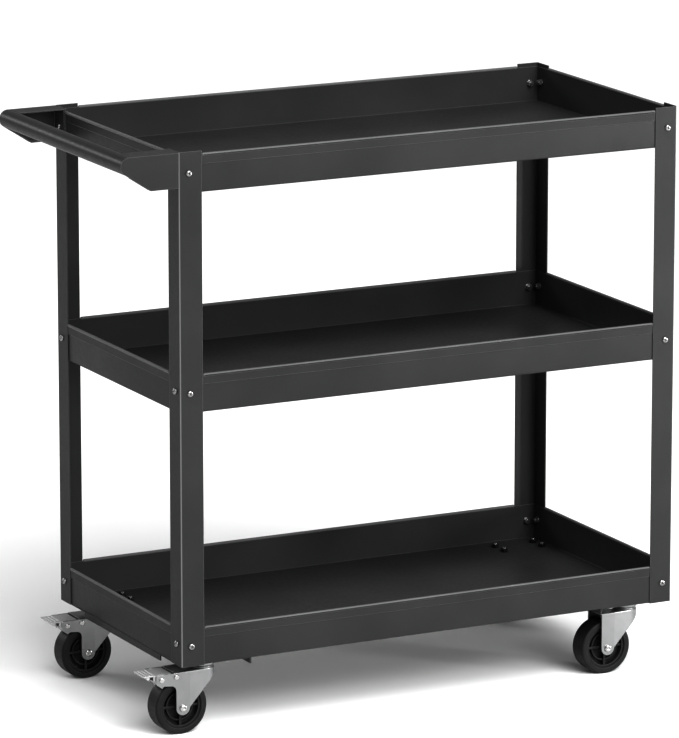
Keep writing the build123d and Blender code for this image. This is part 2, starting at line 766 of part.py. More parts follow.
save(caster_rail(-1), "caster_rail_left")
save(caster_rail(1), "caster_rail_right")
save([Pos(x, y, plate_low) * plate_bolt() for x, y in plate_bolt_points()], "caster_bolts")
floor_top = rail_top + tray_sheet
plate_nut = hexagon(plate_nut_flats, plate_nut_height) - Cylinder(plate_bolt_radius + seat, 40)
save([Pos(x, y, floor_top) * plate_nut for x, y in plate_bolt_points()], "caster_nuts")

kingpins = []
balls = []
for corner_name, (cx, cy) in caster_points().items():
    place = Pos(cx, cy, 0)
    has_brake = corner_name in BRAKED
    kingpins.append(place * kingpin())
    balls.extend(place * ball for ball in swivel_balls())
    save(place * swivel_plate(), f"swivel_plate_{corner_name}")
    save(place * fork(has_brake), f"fork_{corner_name}")
    save(place * axle_bolt(), f"axle_bolt_{corner_name}")
    save(place * axle_nut(), f"axle_nut_{corner_name}")
    save(place * axle_sleeve(), f"axle_sleeve_{corner_name}")
    save([place * ring for ring in thrust_washers()], f"thrust_washers_{corner_name}")
    save(place * tyre(), f"tyre_{corner_name}")
    save(place * wheel_core(), f"wheel_core_{corner_name}")
    if has_brake:
        save([place * pin for pin in brake_pins()], f"brake_pins_{corner_name}")
        save(place * brake_pedal(), f"brake_pedal_{corner_name}")
        save(place * brake_shoe(), f"brake_shoe_{corner_name}")
save(kingpins, "kingpins")
save(balls, "swivel_balls")
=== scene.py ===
import math

import bmesh
import bpy
from mathutils import Matrix, Vector


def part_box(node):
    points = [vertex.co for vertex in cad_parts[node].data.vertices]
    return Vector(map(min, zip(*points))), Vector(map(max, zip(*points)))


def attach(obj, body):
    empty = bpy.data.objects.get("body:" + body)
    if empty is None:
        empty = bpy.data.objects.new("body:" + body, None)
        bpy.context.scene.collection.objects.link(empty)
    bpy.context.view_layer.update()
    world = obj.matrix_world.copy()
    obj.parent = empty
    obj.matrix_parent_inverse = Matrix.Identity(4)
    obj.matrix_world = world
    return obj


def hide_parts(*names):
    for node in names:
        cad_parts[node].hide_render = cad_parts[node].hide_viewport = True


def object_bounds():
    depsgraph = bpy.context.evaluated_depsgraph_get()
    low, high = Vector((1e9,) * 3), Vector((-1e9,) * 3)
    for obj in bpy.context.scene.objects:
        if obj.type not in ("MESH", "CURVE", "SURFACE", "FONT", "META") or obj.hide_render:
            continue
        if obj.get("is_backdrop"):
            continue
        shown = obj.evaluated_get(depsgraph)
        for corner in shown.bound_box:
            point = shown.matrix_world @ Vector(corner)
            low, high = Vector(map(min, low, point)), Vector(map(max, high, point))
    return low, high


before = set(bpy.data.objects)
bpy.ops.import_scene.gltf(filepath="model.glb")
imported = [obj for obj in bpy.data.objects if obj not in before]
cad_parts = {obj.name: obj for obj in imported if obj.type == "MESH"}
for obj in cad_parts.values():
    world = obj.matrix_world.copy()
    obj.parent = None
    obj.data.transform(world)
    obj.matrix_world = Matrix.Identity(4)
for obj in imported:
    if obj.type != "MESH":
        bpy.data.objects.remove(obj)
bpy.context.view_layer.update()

# ------------------------------------------------------------------ corner posts
# Four lengths of 34 mm steel angle, bent from 1.6 mm sheet, one at each corner of the cart.
# They are finished in a satin charcoal powder coat, with a painted highlight, a lighter line, on
# every bend and cut edge. The trays, the handle and the caster rails share the same coat.
CORNERS = ("front_left", "rear_left", "front_right", "rear_right")
MIX_FIRST, MIX_SECOND, MIX_RESULT = 6, 7, 2  # a Mix node's two colours and its result


def new_finish(name):
    """An empty node material with its shader: (material, its nodes, its links, the shader)."""
    material = bpy.data.materials.new(name)
    material.use_nodes = True
    tree = material.node_tree
    shader = next(node for node in tree.nodes if node.type == "BSDF_PRINCIPLED")
    return material, tree.nodes, tree.links, shader


def grain(nodes, links, scale, detail, stretch=(1, 1, 1)):
    """Noise that is fixed to the piece: scale is in cells to the metre along each axis."""
    place = nodes.new("ShaderNodeTexCoord")
    mapping = nodes.new("ShaderNodeMapping")
    mapping.inputs["Scale"].default_value = stretch
    links.new(place.outputs["Object"], mapping.inputs["Vector"])
    noise = nodes.new("ShaderNodeTexNoise")
    noise.inputs["Scale"].default_value = scale
    noise.inputs["Detail"].default_value = detail
    links.new(mapping.outputs["Vector"], noise.inputs["Vector"])
    return noise.outputs["Fac"]


def spread(nodes, links, source, low, high, start=0.35, end=0.65):
    """Map a grain value onto the range from low to high."""
    ramp = nodes.new("ShaderNodeMapRange")
    ramp.inputs["From Min"].default_value = start
    ramp.inputs["From Max"].default_value = end
    ramp.inputs["To Min"].default_value = low
    ramp.inputs["To Max"].default_value = high
    links.new(source, ramp.inputs["Value"])
    return ramp.outputs["Result"]


def colour_mix(nodes, links, factor, first, second):
    """Mix node between two colours, each of them plain or another node's output."""
    mix = nodes.new("ShaderNodeMix")
    mix.data_type = "RGBA"
    links.new(factor, mix.inputs["Factor"])
    for place, colour in ((MIX_FIRST, first), (MIX_SECOND, second)):
        if isinstance(colour, tuple):
            mix.inputs[place].default_value = (*colour, 1)
        else:
            links.new(colour, mix.inputs[place])
    return mix


def eased_edges(nodes, radius):
    """Normal of a surface whose sharp edges are rounded off by radius, in metres."""
    bevel = nodes.new("ShaderNodeBevel")
    bevel.samples = 6
    bevel.inputs["Radius"].default_value = radius
    return bevel.outputs["Normal"]


def edge_mask(nodes, links, eased):
    """1 on the eased edges and 0 on the flats between them."""
    surface = nodes.new("ShaderNodeNewGeometry")
    turn = nodes.new("ShaderNodeVectorMath")
    turn.operation = "DOT_PRODUCT"
    links.new(surface.outputs["Normal"], turn.inputs[0])
    links.new(eased, turn.inputs[1])
    return spread(nodes, links, turn.outputs["Value"], 1.0, 0.0, 0.75, 0.995)


def relief(nodes, links, shader, height, depth, strength, eased):
    """Fine surface relief of the given depth in metres, on top of the eased edges."""
    bump = nodes.new("ShaderNodeBump")
    bump.inputs["Distance"].default_value = depth
    bump.inputs["Strength"].default_value = strength
    links.new(height, bump.inputs["Height"])
    links.new(eased, bump.inputs["Normal"])
    links.new(bump.outputs["Normal"], shader.inputs["Normal"])


def powder_coat_finish(name, dark, light, edge):
    """Satin powder coat: faint mottling, orange peel, and a painted highlight, a lighter line, on
    the cut edges.
    """
    material, nodes, links, shader = new_finish(name)
    eased = eased_edges(nodes, 0.0011)
    mottle = spread(nodes, links, grain(nodes, links, 9, 4), 0, 1)
    coat = colour_mix(nodes, links, mottle, dark, light)
    # Painted highlight: a lighter tone on the eased edges, a bright line along each cut edge.
    edge_highlight_mask = edge_mask(nodes, links, eased)
    edge_highlight_mix = colour_mix(nodes, links, edge_highlight_mask, coat.outputs[MIX_RESULT], edge)
    links.new(edge_highlight_mix.outputs[MIX_RESULT], shader.inputs["Base Color"])
    gloss = spread(nodes, links, grain(nodes, links, 160, 3), 0.35, 0.42)
    links.new(gloss, shader.inputs["Roughness"])
    shader.inputs["Specular IOR Level"].default_value = 0.09
    relief(nodes, links, shader, grain(nodes, links, 620, 2), 0.00005, 0.35, eased)
    return material, nodes, links, edge_highlight_mix


def paint_bend_highlight(nodes, links, edge_highlight_mix, middle, reach, width, highlight_tone):
    """Painted highlight: a lighter coat on the upright bends, which stand reach from the middle
    along X and Y.
    """
    full_highlight_reach = 0.45 * width

    def vector_step(operation, source, operand=None):
        step = nodes.new("ShaderNodeVectorMath")
        step.operation = operation
        links.new(source, step.inputs[0])
        if operand:
            step.inputs[1].default_value = operand
        return step

    place = nodes.new("ShaderNodeTexCoord").outputs["Object"]
    shift = vector_step("SUBTRACT", place, middle).outputs["Vector"]
    size = vector_step("ABSOLUTE", shift).outputs["Vector"]
    gap = vector_step("SUBTRACT", size, reach).outputs["Vector"]
    level = vector_step("MULTIPLY", gap, (1, 1, 0)).outputs["Vector"]
    far = vector_step("LENGTH", level).outputs["Value"]
    near = spread(nodes, links, far, 1, 0, full_highlight_reach, width)
    coat = edge_highlight_mix.inputs[MIX_FIRST].links[0].from_socket
    bend = colour_mix(nodes, links, near, coat, highlight_tone)
    links.new(bend.outputs[MIX_RESULT], edge_highlight_mix.inputs[MIX_FIRST])


def wear_finish(node, finish):
    """Give a part that keeps its modelled shape its finish."""
    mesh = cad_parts[node].data
    for i in range(len(mesh.materials)):
        mesh.materials[i] = finish


frame_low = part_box("post_front_left")[0]
frame_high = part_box("post_rear_right")[1]
centre_x = (frame_low.x + frame_high.x) / 2
# Dark and light coat tones, then the lighter tone of the painted highlight on the eased edges.
COAT_AND_EDGE_HIGHLIGHT = ((0.031, 0.0312, 0.0316), (0.037, 0.0371, 0.0375), (0.16, 0.16, 0.16))
powder_coat = powder_coat_finish("charcoal_powder_coat", *COAT_AND_EDGE_HIGHLIGHT)[0]
post_coat_with_highlight, nodes, links, edge_highlight_mix = powder_coat_finish("charcoal_post_coat_painted_highlight", *COAT_AND_EDGE_HIGHLIGHT)
half_size = ((frame_high.x - frame_low.x) / 2, (frame_high.y - frame_low.y) / 2, 0)
# The posts' coat also carries a painted highlight, a lighter line, down each upright bend.
BEND_HIGHLIGHT_WIDTH = 0.0021
BEND_HIGHLIGHT_TONE = (0.21, 0.21, 0.21)
paint_bend_highlight(nodes, links, edge_highlight_mix, (centre_x, 0, 0), half_size, BEND_HIGHLIGHT_WIDTH, BEND_HIGHLIGHT_TONE)
for corner in CORNERS:
    wear_finish(f"post_{corner}", post_coat_with_highlight)

# ------------------------------------------------------------------ trays
# Three identical pans pressed from 1 mm sheet, with 53 mm walls, folded corners and a flat floor.
# Each wall's top is turned outwards and down into a hem, with its fold rolled into a bead. Hem
# and bead stop at the posts, and each pan is screwed to the posts from outside.
TRAYS = ("bottom_tray", "middle_tray", "top_tray")
SHEET = 0.0010
POST_SHEET = 0.0016
POST_LEG = 0.034
wall_x = (frame_high.x - frame_low.x) / 2 - POST_SHEET
wall_y = (frame_high.y - frame_low.y) / 2 - POST_SHEET


def make_piece(name, mesh, finishes, smooth_angle=35):
    """Link a finished mesh as a piece, smooth except across its sharp edges."""
    if not mesh.materials:
        for finish in finishes:
            mesh.materials.append(finish)
    mesh.shade_smooth()
    mesh.set_sharp_from_angle(angle=math.radians(smooth_angle))
    piece = bpy.data.objects.new(name, mesh)
    bpy.context.scene.collection.objects.link(piece)
    return piece


def rounded_ring(half_x, half_y, radius, z, steps=6):
    """Corners of a rounded rectangle about the cart's middle, at one height."""
    points = []
    for quarter, (sx, sy) in enumerate(((1, 1), (-1, 1), (-1, -1), (1, -1))):
        for step in range(steps + 1):
            turn = math.radians(90 * quarter + 90 * step / steps)
            x = sx * (half_x - radius) + radius * math.cos(turn)
            y = sy * (half_y - radius) + radius * math.sin(turn)
            points.append(Vector((centre_x + x, y, z)))
    return points


def loft(form, rings):
    """Skin rings of equal count in order, and close the first and the last."""
    loops = [[form.verts.new(point) for point in ring] for ring in rings]
    count = len(loops[0])
    for lower, upper in zip(loops, loops[1:]):
        for i in range(count):
            j = (i + 1) % count
            form.faces.new((lower[i], lower[j], upper[j], upper[i]))
    form.faces.new(list(reversed(loops[0])))
    form.faces.new(loops[-1])


def pan_rings(low, top):
    """Outside of the pan from its underside up, then over the rim and down the inside."""
    fold, corner, steps, ease = 0.0022, 0.0030, 5, 0.0003
    rings = []
    for step in range(steps + 1):
        turn = math.radians(90 * step / steps)
        inset = fold * (1 - math.sin(turn))
        rings.append((inset, low + fold * (1 - math.cos(turn))))
    rings.append((0, top - ease))
    rings.append((ease, top))
    rings.append((SHEET - ease, top))
    rings.append((SHEET, top - ease))
    inner = fold - SHEET
    for step in range(steps, -1, -1):
        turn = math.radians(90 * step / steps)
        inset = SHEET + inner * (1 - math.sin(turn))
        rings.append((inset, low + SHEET + inner * (1 - math.cos(turn))))
    tightest = 0.0004
    return [
        rounded_ring(wall_x - inset, wall_y - inset, max(corner - inset, tightest), z)
        for inset, z in rings
    ]


def slab(form, low, high, ease=0.0003):
    """Thin plate between two opposite corners, with eased edges."""
    made = bmesh.ops.create_cube(form, size=1)
    middle = (low + high) / 2
    size = high - low
    for vert in made["verts"]:
        vert.co = Vector((vert.co[i] * size[i] + middle[i] for i in range(3)))
    edges = {edge for vert in made["verts"] for edge in vert.link_edges}
    bmesh.ops.bevel(form, geom=list(edges), offset=ease, segments=2, affect="EDGES")


def tree_input(tree, name, kind, value):
    """Add a named input to a geometry tree."""
    socket = tree.interface.new_socket(name, in_out="INPUT", socket_type=kind)
    socket.default_value = value


def grown(name, guide, tree, finish, sizes):
    """Run a geometry tree on a guide mesh and return the plain mesh that it makes."""
    holder = bpy.data.objects.new(name, guide)
    bpy.context.scene.collection.objects.link(holder)
    modifier = holder.modifiers.new(name, "NODES")
    modifier.node_group = tree
    for item in tree.interface.items_tree:
        if item.in_out == "INPUT" and item.name in sizes:
            modifier[item.identifier] = sizes[item.name]
        if item.in_out == "INPUT" and item.name == "Finish":
            modifier[item.identifier] = finish
    ready = holder.evaluated_get(bpy.context.evaluated_depsgraph_get())
    mesh = bpy.data.meshes.new_from_object(ready)
    bpy.data.objects.remove(holder)
    return mesh


def bead_tree():
    """Rolled bead: a round bar along each guide edge, with a half ball closing each end."""
    tree = bpy.data.node_groups.new("rolled_bead", "GeometryNodeTree")
    tree.interface.new_socket("Geometry", in_out="INPUT", socket_type="NodeSocketGeometry")
    tree_input(tree, "Bead Radius", "NodeSocketFloat", 0.002)
    tree.interface.new_socket("Finish", in_out="INPUT", socket_type="NodeSocketMaterial")
    tree.interface.new_socket("Geometry", in_out="OUTPUT", socket_type="NodeSocketGeometry")
    nodes, links = tree.nodes, tree.links
    start = nodes.new("NodeGroupInput")
    end = nodes.new("NodeGroupOutput")
    line = nodes.new("GeometryNodeMeshToCurve")
    section = nodes.new("GeometryNodeCurvePrimitiveCircle")
    section.inputs["Resolution"].default_value = 24
    bar = nodes.new("GeometryNodeCurveToMesh")
    ball = nodes.new("GeometryNodeMeshUVSphere")
    ball.inputs["Segments"].default_value = 24
    ball.inputs["Rings"].default_value = 12
    caps = nodes.new("GeometryNodeInstanceOnPoints")
    both = nodes.new("GeometryNodeJoinGeometry")
    real = nodes.new("GeometryNodeRealizeInstances")
    coat = nodes.new("GeometryNodeSetMaterial")
    links.new(start.outputs["Geometry"], line.inputs["Mesh"])
    links.new(start.outputs["Bead Radius"], section.inputs["Radius"])
    links.new(line.outputs["Curve"], bar.inputs["Curve"])
    links.new(section.outputs["Curve"], bar.inputs["Profile Curve"])
    links.new(start.outputs["Bead Radius"], ball.inputs["Radius"])
    links.new(start.outputs["Geometry"], caps.inputs["Points"])
    links.new(ball.outputs["Mesh"], caps.inputs["Instance"])
    links.new(bar.outputs["Mesh"], both.inputs["Geometry"])
    links.new(caps.outputs["Instances"], both.inputs["Geometry"])
    links.new(both.outputs["Geometry"], real.inputs["Geometry"])
    links.new(real.outputs["Geometry"], coat.inputs["Geometry"])
    links.new(start.outputs["Finish"], coat.inputs["Material"])
    links.new(coat.outputs["Geometry"], end.inputs["Geometry"])
    return tree


rolled_bead = bead_tree()
# The bead gets a much lighter coat than the pan: a painted highlight along the rolled bead.
bead_highlight_coat, nodes, links, edge_highlight_mix = powder_coat_finish(
    "bead_painted_highlight_coat", (0.105, 0.1055, 0.1065), (0.125, 0.1255, 0.1265), COAT_AND_EDGE_HIGHLIGHT[2]
)
BEAD = 0.0020
HEM = 0.0150
HEM_GAP = 0.0006
for tray in TRAYS:
    tray_low, tray_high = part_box(tray)
    rim = tray_high.z
    bead_z = rim - BEAD
    form = bmesh.new()
    loft(form, pan_rings(tray_low.z, bead_z))
    runs = []
    for side in (-1, 1):
        reach = wall_x + POST_SHEET - POST_LEG - HEM_GAP
        inner, outer = sorted((side * wall_y, side * (wall_y + SHEET)))
        low = Vector((centre_x - reach, inner, rim - HEM))
        slab(form, low, Vector((centre_x + reach, outer, bead_z)))
        fold_y = side * (wall_y + SHEET / 2)
        runs.append([(centre_x + end * (reach - BEAD), fold_y, bead_z) for end in (-1, 1)])
        reach = wall_y + POST_SHEET - POST_LEG - HEM_GAP
        inner, outer = sorted((side * wall_x, side * (wall_x + SHEET)))
        low = Vector((centre_x + inner, -reach, rim - HEM))
        slab(form, low, Vector((centre_x + outer, reach, bead_z)))
        fold_x = centre_x + side * (wall_x + SHEET / 2)
        runs.append([(fold_x, end * (reach - BEAD), bead_z) for end in (-1, 1)])
    guide = bpy.data.meshes.new("bead_lines")
    ends = [point for run in runs for point in run]
    guide.from_pydata(ends, [(2 * i, 2 * i + 1) for i in range(len(runs))], [])
    bead_mesh = grown("bead", guide, rolled_bead, bead_highlight_coat, {"Bead Radius": BEAD})
    plain_faces = len(form.faces)
    form.from_mesh(bead_mesh)
    for i, face in enumerate(form.faces):
        face.material_index = int(i >= plain_faces)
    mesh = bpy.data.meshes.new(f"{tray}_pressing")
    form.to_mesh(mesh)
    form.free()
    piece = make_piece(f"{tray}_pressing", mesh, (powder_coat, bead_highlight_coat))
    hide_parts(tray)
    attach(piece, "cart_frame")

# ------------------------------------------------------------------ tray screws
# M5 pan-head screws with a cross recess, bright zinc plated, driven from outside through post
# and tray wall. Eight hold each tray. Inside the tray each has a plain washer and a hexagon nut.


def plated_finish(
    name, tone, rough_low, rough_high, ease, grain_scale, grain_depth,
    stretch=(1, 1, 1), metal=0.92
):
    """Bright zinc plating: faint cloudy patches over rolled or turned metal."""
    material, nodes, links, shader = new_finish(name)
    eased = eased_edges(nodes, ease)
    cloud = spread(nodes, links, grain(nodes, links, 70, 4), 0, 1)
    cloudy = tuple(0.94 * part for part in tone)
    colour = colour_mix(nodes, links, cloud, cloudy, tone)
    links.new(colour.outputs[MIX_RESULT], shader.inputs["Base Color"])
    shader.inputs["Metallic"].default_value = metal
    texture = grain(nodes, links, grain_scale, 3, stretch)
    gloss = spread(nodes, links, texture, rough_low, rough_high)
    links.new(gloss, shader.inputs["Roughness"])
    relief(nodes, links, shader, texture, grain_depth, 0.3, eased)
    return material


def screw_tree():
    """Pan-head screw on every guide point, its head along the point's own direction."""
    tree = bpy.data.node_groups.new("pan_screws", "GeometryNodeTree")
    tree.interface.new_socket("Geometry", in_out="INPUT", socket_type="NodeSocketGeometry")
    tree_input(tree, "Head Radius", "NodeSocketFloat", 0.0047)
    tree_input(tree, "Head Height", "NodeSocketFloat", 0.003)
    tree_input(tree, "Recess Width", "NodeSocketFloat", 0.0011)
    tree_input(tree, "Thread Radius", "NodeSocketFloat", 0.0025)
    tree_input(tree, "Thread Length", "NodeSocketFloat", 0.0092)
    tree.interface.new_socket("Finish", in_out="INPUT", socket_type="NodeSocketMaterial")
    tree.interface.new_socket("Geometry", in_out="OUTPUT", socket_type="NodeSocketGeometry")
    nodes, links = tree.nodes, tree.links
    start = nodes.new("NodeGroupInput")
    end = nodes.new("NodeGroupOutput")

    def maths(operation, a, b=None):
        node = nodes.new("ShaderNodeMath")
        node.operation = operation
        for socket, value in zip(node.inputs, (a, b)):
            if isinstance(value, (int, float)):
                socket.default_value = value
            elif value is not None:
                links.new(value, socket)
        return node.outputs["Value"]

    def vector(x, y, z):
        node = nodes.new("ShaderNodeCombineXYZ")
        for socket, value in zip(node.inputs, (x, y, z)):
            if isinstance(value, (int, float)):
                socket.default_value = value
            else:
                links.new(value, socket)
        return node.outputs["Vector"]

    head_radius = start.outputs["Head Radius"]
    head_height = start.outputs["Head Height"]
    ball = nodes.new("GeometryNodeMeshUVSphere")
    ball.inputs["Segments"].default_value = 32
    ball.inputs["Rings"].default_value = 20
    ball.inputs["Radius"].default_value = 1.0
    place = nodes.new("GeometryNodeInputPosition")
    parts = nodes.new("ShaderNodeSeparateXYZ")
    links.new(place.outputs["Position"], parts.inputs["Vector"])
    side_fullness, top_fullness, smallest = 0.62, 0.72, 0.0001
    up = maths("MAXIMUM", parts.outputs["Z"], 0.0)
    up_squared = maths("MINIMUM", maths("MULTIPLY", up, up), 1.0)
    across = maths("MAXIMUM", maths("SQRT", maths("SUBTRACT", 1.0, up_squared)), smallest)
    widen = maths("DIVIDE", maths("POWER", across, side_fullness), across)
    crown = maths("POWER", up, top_fullness)
    shape = nodes.new("GeometryNodeSetPosition")
    links.new(ball.outputs["Mesh"], shape.inputs["Geometry"])
    scale = maths("MULTIPLY", widen, head_radius)
    x = maths("MULTIPLY", parts.outputs["X"], scale)
    y = maths("MULTIPLY", parts.outputs["Y"], scale)
    z = maths("MULTIPLY", crown, head_height)
    links.new(vector(x, y, z), shape.inputs["Position"])

    recess_width = start.outputs["Recess Width"]
    recess_deep = maths("MULTIPLY", head_height, 1.2)
    cuts = []
    for first, second in ((head_radius, recess_width), (recess_width, head_radius)):
        bar = nodes.new("GeometryNodeMeshCube")
        links.new(vector(first, second, recess_deep), bar.inputs["Size"])
        moved = nodes.new("GeometryNodeTransform")
        links.new(bar.outputs["Mesh"], moved.inputs["Geometry"])
        links.new(vector(0, 0, head_height), moved.inputs["Translation"])
        cuts.append(moved.outputs["Geometry"])
    carve = nodes.new("GeometryNodeMeshBoolean")
    carve.operation = "DIFFERENCE"
    links.new(shape.outputs["Geometry"], carve.inputs["Mesh 1"])
    for cut in cuts:
        links.new(cut, carve.inputs["Mesh 2"])

    shank = nodes.new("GeometryNodeMeshCylinder")
    shank.inputs["Vertices"].default_value = 20
    links.new(start.outputs["Thread Radius"], shank.inputs["Radius"])
    links.new(start.outputs["Thread Length"], shank.inputs["Depth"])
    halfway_down = maths("MULTIPLY", start.outputs["Thread Length"], -0.5)
    hung = nodes.new("GeometryNodeTransform")
    links.new(shank.outputs["Mesh"], hung.inputs["Geometry"])
    links.new(vector(0, 0, halfway_down), hung.inputs["Translation"])

    whole = nodes.new("GeometryNodeJoinGeometry")
    links.new(carve.outputs["Mesh"], whole.inputs["Geometry"])
    links.new(hung.outputs["Geometry"], whole.inputs["Geometry"])
    out = nodes.new("GeometryNodeInputNamedAttribute")
    out.data_type = "FLOAT_VECTOR"
    out.inputs["Name"].default_value = "out"
    aim = nodes.new("FunctionNodeAlignRotationToVector")
    aim.axis = "Z"
    links.new(out.outputs["Attribute"], aim.inputs["Vector"])
    largest, turned = 3, 1  # a float random value's Max input and its output
    twist = nodes.new("FunctionNodeRandomValue")
    twist.data_type = "FLOAT"
    twist.inputs[largest].default_value = math.pi / 2
    twist.inputs["Seed"].default_value = 7
    spin = nodes.new("FunctionNodeRotateRotation")
    spin.rotation_space = "LOCAL"
    links.new(aim.outputs["Rotation"], spin.inputs["Rotation"])
    about = nodes.new("FunctionNodeAxisAngleToRotation")
    about.inputs["Axis"].default_value = (0, 0, 1)
    links.new(twist.outputs[turned], about.inputs["Angle"])
    links.new(about.outputs["Rotation"], spin.inputs["Rotate By"])
    copies = nodes.new("GeometryNodeInstanceOnPoints")
    links.new(start.outputs["Geometry"], copies.inputs["Points"])
    links.new(whole.outputs["Geometry"], copies.inputs["Instance"])
    links.new(spin.outputs["Rotation"], copies.inputs["Rotation"])
    real = nodes.new("GeometryNodeRealizeInstances")
    plate = nodes.new("GeometryNodeSetMaterial")
    links.new(copies.outputs["Instances"], real.inputs["Geometry"])
    links.new(real.outputs["Geometry"], plate.inputs["Geometry"])
    links.new(start.outputs["Finish"], plate.inputs["Material"])
    links.new(plate.outputs["Geometry"], end.inputs["Geometry"])
    return tree


def guide_points(name, places):
    """Guide mesh with one point for each (place, direction)."""
    mesh = bpy.data.meshes.new(name)
    mesh.from_pydata([place for place, _ in places], [], [])
    out = mesh.attributes.new("out", "FLOAT_VECTOR", "POINT")
    for item, (_, direction) in zip(out.data, places):
        item.vector = direction
    return mesh


bright_zinc = plated_finish("bright_zinc", (0.46, 0.46, 0.455), 0.16, 0.26, 0.0002, 300, 0.00001)
screw_zinc = plated_finish("screw_zinc", (0.27, 0.27, 0.268), 0.20, 0.30, 0.0002, 300, 0.00001)
dull_zinc = plated_finish("dull_zinc", (0.30, 0.30, 0.30), 0.30, 0.42, 0.0002, 300, 0.00001)
pan_screws = screw_tree()
SIDE_INSET, SIDE_RISE = 0.0148, 0.0275
END_INSET, END_RISE = 0.0153, 0.0295
PAN_HEAD = {
    "Head Radius": 0.0047, "Head Height": 0.0030, "Recess Width": 0.0011, "Thread Radius": 0.0025
}
tray_places = []
handle_places = []
for sx, end_x in ((-1, frame_low.x), (1, frame_high.x)):
    for sy, side_y in ((-1, frame_low.y), (1, frame_high.y)):
        for tray in TRAYS:
            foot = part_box(tray)[0].z
            side = Vector((end_x - sx * SIDE_INSET, side_y, foot + SIDE_RISE))
            tray_places.append((side, Vector((0, sy, 0))))
            end = Vector((end_x, side_y - sy * END_INSET, foot + END_RISE))
            on_handle = sx < 0 and tray == "top_tray"
            (handle_places if on_handle else tray_places).append((end, Vector((sx, 0, 0))))
mesh = grown(
    "tray_screw_set", guide_points("tray_screw_points", tray_places), pan_screws, screw_zinc,
    {**PAN_HEAD, "Thread Length": 0.0092}
)
piece = make_piece("tray_screw_set", mesh, (screw_zinc,), 50)
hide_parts("tray_screws")
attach(piece, "cart_frame")
for node in ("tray_nuts", "tray_washers"):
    wear_finish(node, dull_zinc)

# ------------------------------------------------------------------ push handle
# A round steel tube between two pressed brackets at the left end, coated like the frame.
# Each bracket lies over the end face of its post and is held by two screws, the upper of which
# also holds the tray.
BRACKET_SHEET = 0.0015
HANDLE_PITCH = 0.0170
for node in ("handle_tube", "handle_bracket_front", "handle_bracket_rear"):
    wear_finish(node, powder_coat)
handle_places = [(place - Vector((BRACKET_SHEET, 0, 0)), out) for place, out in handle_places]
handle_places += [(place - Vector((0, 0, HANDLE_PITCH)), out) for place, out in handle_places]
mesh = grown(
    "handle_screw_set", guide_points("handle_screw_points", handle_places), pan_screws, screw_zinc,
    {**PAN_HEAD, "Thread Length": 0.0107}
)
piece = make_piece("handle_screw_set", mesh, (screw_zinc,), 50)
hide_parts("handle_screws")
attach(piece, "cart_frame")
for node in ("handle_nuts", "handle_washers"):
    wear_finish(node, dull_zinc)

# ------------------------------------------------------------------ caster rails and their bolts
# Two channels of 2 mm sheet under the bottom tray spread the casters' load. Four hexagon bolts
# hold each caster, put in from below, with blackened nuts on the tray's floor.
blackened = plated_finish(
    "blackened_steel", (0.035, 0.035, 0.036), 0.34, 0.46, 0.0003, 300, 0.00002
)
for node in ("caster_rail_left", "caster_rail_right"):
    wear_finish(node, powder_coat)
wear_finish("caster_bolts", bright_zinc)
wear_finish("caster_nuts", blackened)

# ------------------------------------------------------------------ swivel plates and kingpins
# Each caster hangs from a pressed plate with a round race boss, turned on a ring of balls and
# held together by a riveted kingpin.
pressed_zinc = plated_finish(
    "pressed_zinc", (0.27, 0.2715, 0.273), 0.30, 0.35, 0.0005, 240, 0.000004, (1, 1, 0.12)
)
for corner in CORNERS:
    wear_finish(f"swivel_plate_{corner}", pressed_zinc)
wear_finish("kingpins", dull_zinc)
wear_finish("swivel_balls", bright_zinc)

# ------------------------------------------------------------------ forks and axles
# Forks pressed from 2.3 mm zinc-plated sheet. The axle is a button-head bolt with a hexagon
# socket through both legs, with a nut, a sleeve and two thrust washers.
for corner in CORNERS:
    wear_finish(f"fork_{corner}", pressed_zinc)
    wear_finish(f"axle_bolt_{corner}", bright_zinc)
    wear_finish(f"axle_nut_{corner}", bright_zinc)
    wear_finish(f"axle_sleeve_{corner}", dull_zinc)
    wear_finish(f"thrust_washers_{corner}", dull_zinc)

# ------------------------------------------------------------------ wheels
# Each wheel is a solid tyre of black rubber, moulded round a core of hard black plastic. Four
# ribs and a thin ring stiffen each face of the core, which turns on the axle's sleeve.


def rubber_finish(name, dark, light, rough_low, rough_high):
    """Black rubber or moulded plastic: faintly uneven, with a fine matte grain and a painted
    highlight, a lighter line, on the eased edges.
    """
    material, nodes, links, shader = new_finish(name)
    eased = eased_edges(nodes, 0.0009)
    patches = spread(nodes, links, grain(nodes, links, 60, 4), 0, 1)
    body = colour_mix(nodes, links, patches, dark, light).outputs[MIX_RESULT]
    # Painted highlight: a lighter tone on the eased edges of the tyre and the core.
    body_with_edge_highlight = colour_mix(nodes, links, edge_mask(nodes, links, eased), body, (0.07, 0.07, 0.07))
    links.new(body_with_edge_highlight.outputs[MIX_RESULT], shader.inputs["Base Color"])
    gloss = spread(nodes, links, grain(nodes, links, 240, 3), rough_low, rough_high)
    links.new(gloss, shader.inputs["Roughness"])
    shader.inputs["Specular IOR Level"].default_value = 0.16
    relief(nodes, links, shader, grain(nodes, links, 900, 2), 0.00006, 0.4, eased)
    return material


tyre_rubber = rubber_finish(
    "tyre_rubber", (0.011, 0.011, 0.0112), (0.016, 0.016, 0.0163), 0.42, 0.55
)
core_plastic = rubber_finish(
    "core_plastic", (0.012, 0.012, 0.012), (0.017, 0.017, 0.017), 0.34, 0.44
)
for corner in CORNERS:
    wear_finish(f"tyre_{corner}", tyre_rubber)
    wear_finish(f"wheel_core_{corner}", core_plastic)

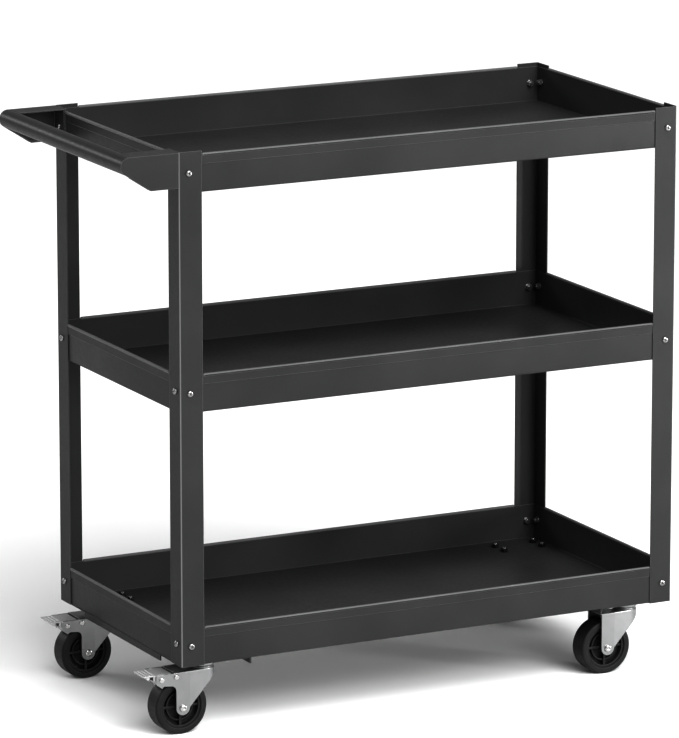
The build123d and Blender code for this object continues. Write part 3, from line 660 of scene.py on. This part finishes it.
# ------------------------------------------------------------------ foot brakes
# The two casters at the handle end have a pressed treadle between the fork's cheeks, which
# pushes a shoe against the tread. Both turn on riveted pins.
BRAKED = ("front_left", "rear_left")
pedal_zinc = plated_finish(
    "pedal_zinc", (0.42, 0.421, 0.422), 0.34, 0.44, 0.0006, 240, 0.000006, (1, 1, 0.12), metal=0.5
)
for corner in BRAKED:
    wear_finish(f"brake_pedal_{corner}", pedal_zinc)
    wear_finish(f"brake_shoe_{corner}", dull_zinc)
    wear_finish(f"brake_pins_{corner}", bright_zinc)

# ------------------------------------------------------------------ studio
# The cart stands on a plain white floor, under one broad soft light from the front. Two boxes
# fill the front, and two narrower ones light the casters and the left end.


def white_floor():
    """Matte white paint with a barely visible mottle."""
    material, nodes, links, shader = new_finish("studio_floor")
    mottle = spread(nodes, links, grain(nodes, links, 0.4, 2), 0, 1)
    paint = colour_mix(nodes, links, mottle, (0.86, 0.86, 0.86), (0.88, 0.88, 0.88))
    links.new(paint.outputs[MIX_RESULT], shader.inputs["Base Color"])
    shader.inputs["Roughness"].default_value = 0.9
    shader.inputs["Specular IOR Level"].default_value = 0.1
    return material


FLOOR_HALF = 30.0
mesh = bpy.data.meshes.new("floor")
sides = ((-1, -1), (1, -1), (1, 1), (-1, 1))
mesh.from_pydata([(x * FLOOR_HALF, y * FLOOR_HALF, 0) for x, y in sides], [], [(0, 1, 2, 3)])
floor = bpy.data.objects.new("floor", mesh)
mesh.materials.append(white_floor())
bpy.context.scene.collection.objects.link(floor)
floor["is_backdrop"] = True


def softbox(name, place, aim, width, height, power):
    """Rectangular soft light at place, facing aim."""
    light = bpy.data.lights.new(name, "AREA")
    light.shape = "RECTANGLE"
    light.size = width
    light.size_y = height
    light.energy = power
    lamp = bpy.data.objects.new(name, light)
    lamp.location = place
    lamp.rotation_euler = (Vector(place) - Vector(aim)).to_track_quat("Z", "Y").to_euler()
    lamp.visible_camera = False
    bpy.context.scene.collection.objects.link(lamp)


middle = (centre_x, 0, 0.4)
key = bpy.data.lights.new("front_key", "SUN")
key.energy = 1.6
key.angle = math.radians(50)
lamp = bpy.data.objects.new("front_key", key)
lamp.rotation_euler = Vector((0.0, -1.0, 0.9)).to_track_quat("Z", "Y").to_euler()
bpy.context.scene.collection.objects.link(lamp)
softbox("front_box", (0.9, -3.6, 1.9), middle, 1.8, 1.6, 38)
softbox("high_box", (0.6, -2.5, 3.6), middle, 1.8, 1.5, 26)
softbox("right_strip", (2.24, -2.28, 0.36), (centre_x, 0, 0.2), 0.28, 0.7, 27)
softbox("left_strip", (-2.2, 3.4, 1.9), (centre_x, 0, 0.6), 1.6, 0.8, 24)
world = bpy.data.worlds.new("studio")
world.use_nodes = True
sky = next(node for node in world.node_tree.nodes if node.type == "BACKGROUND")
sky.inputs["Color"].default_value = (1, 1, 1, 1)
sky.inputs["Strength"].default_value = 0.27
scene = bpy.context.scene
scene.world = world
scene.view_settings.view_transform = "Standard"
scene.view_settings.exposure = 1.0
scene.view_settings.gamma = 0.72

AZIMUTH, ELEVATION = math.radians(-26.98), math.radians(12.90)
CAMERA_REACH = Vector((-3.5918, -6.9745, 2.1323))  # from the foot of the cart's middle
level_reach = math.cos(ELEVATION)
back = Vector((
    math.sin(AZIMUTH) * level_reach, -math.cos(AZIMUTH) * level_reach, math.sin(ELEVATION)
))
right = Vector((math.cos(AZIMUTH), math.sin(AZIMUTH), 0))
up = back.cross(right)
lens = bpy.data.cameras.new("camera")
lens.lens = 279.76
lens.sensor_width = 36.0
lens.clip_start = 0.05
lens.clip_end = 200.0
camera = bpy.data.objects.new("camera", lens)
turned = Matrix((right, up, back)).transposed().to_4x4()
foot = Vector((centre_x, 0, frame_low.z))
camera.matrix_world = Matrix.Translation(foot + CAMERA_REACH) @ turned
scene.collection.objects.link(camera)
scene.camera = camera

low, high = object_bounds()
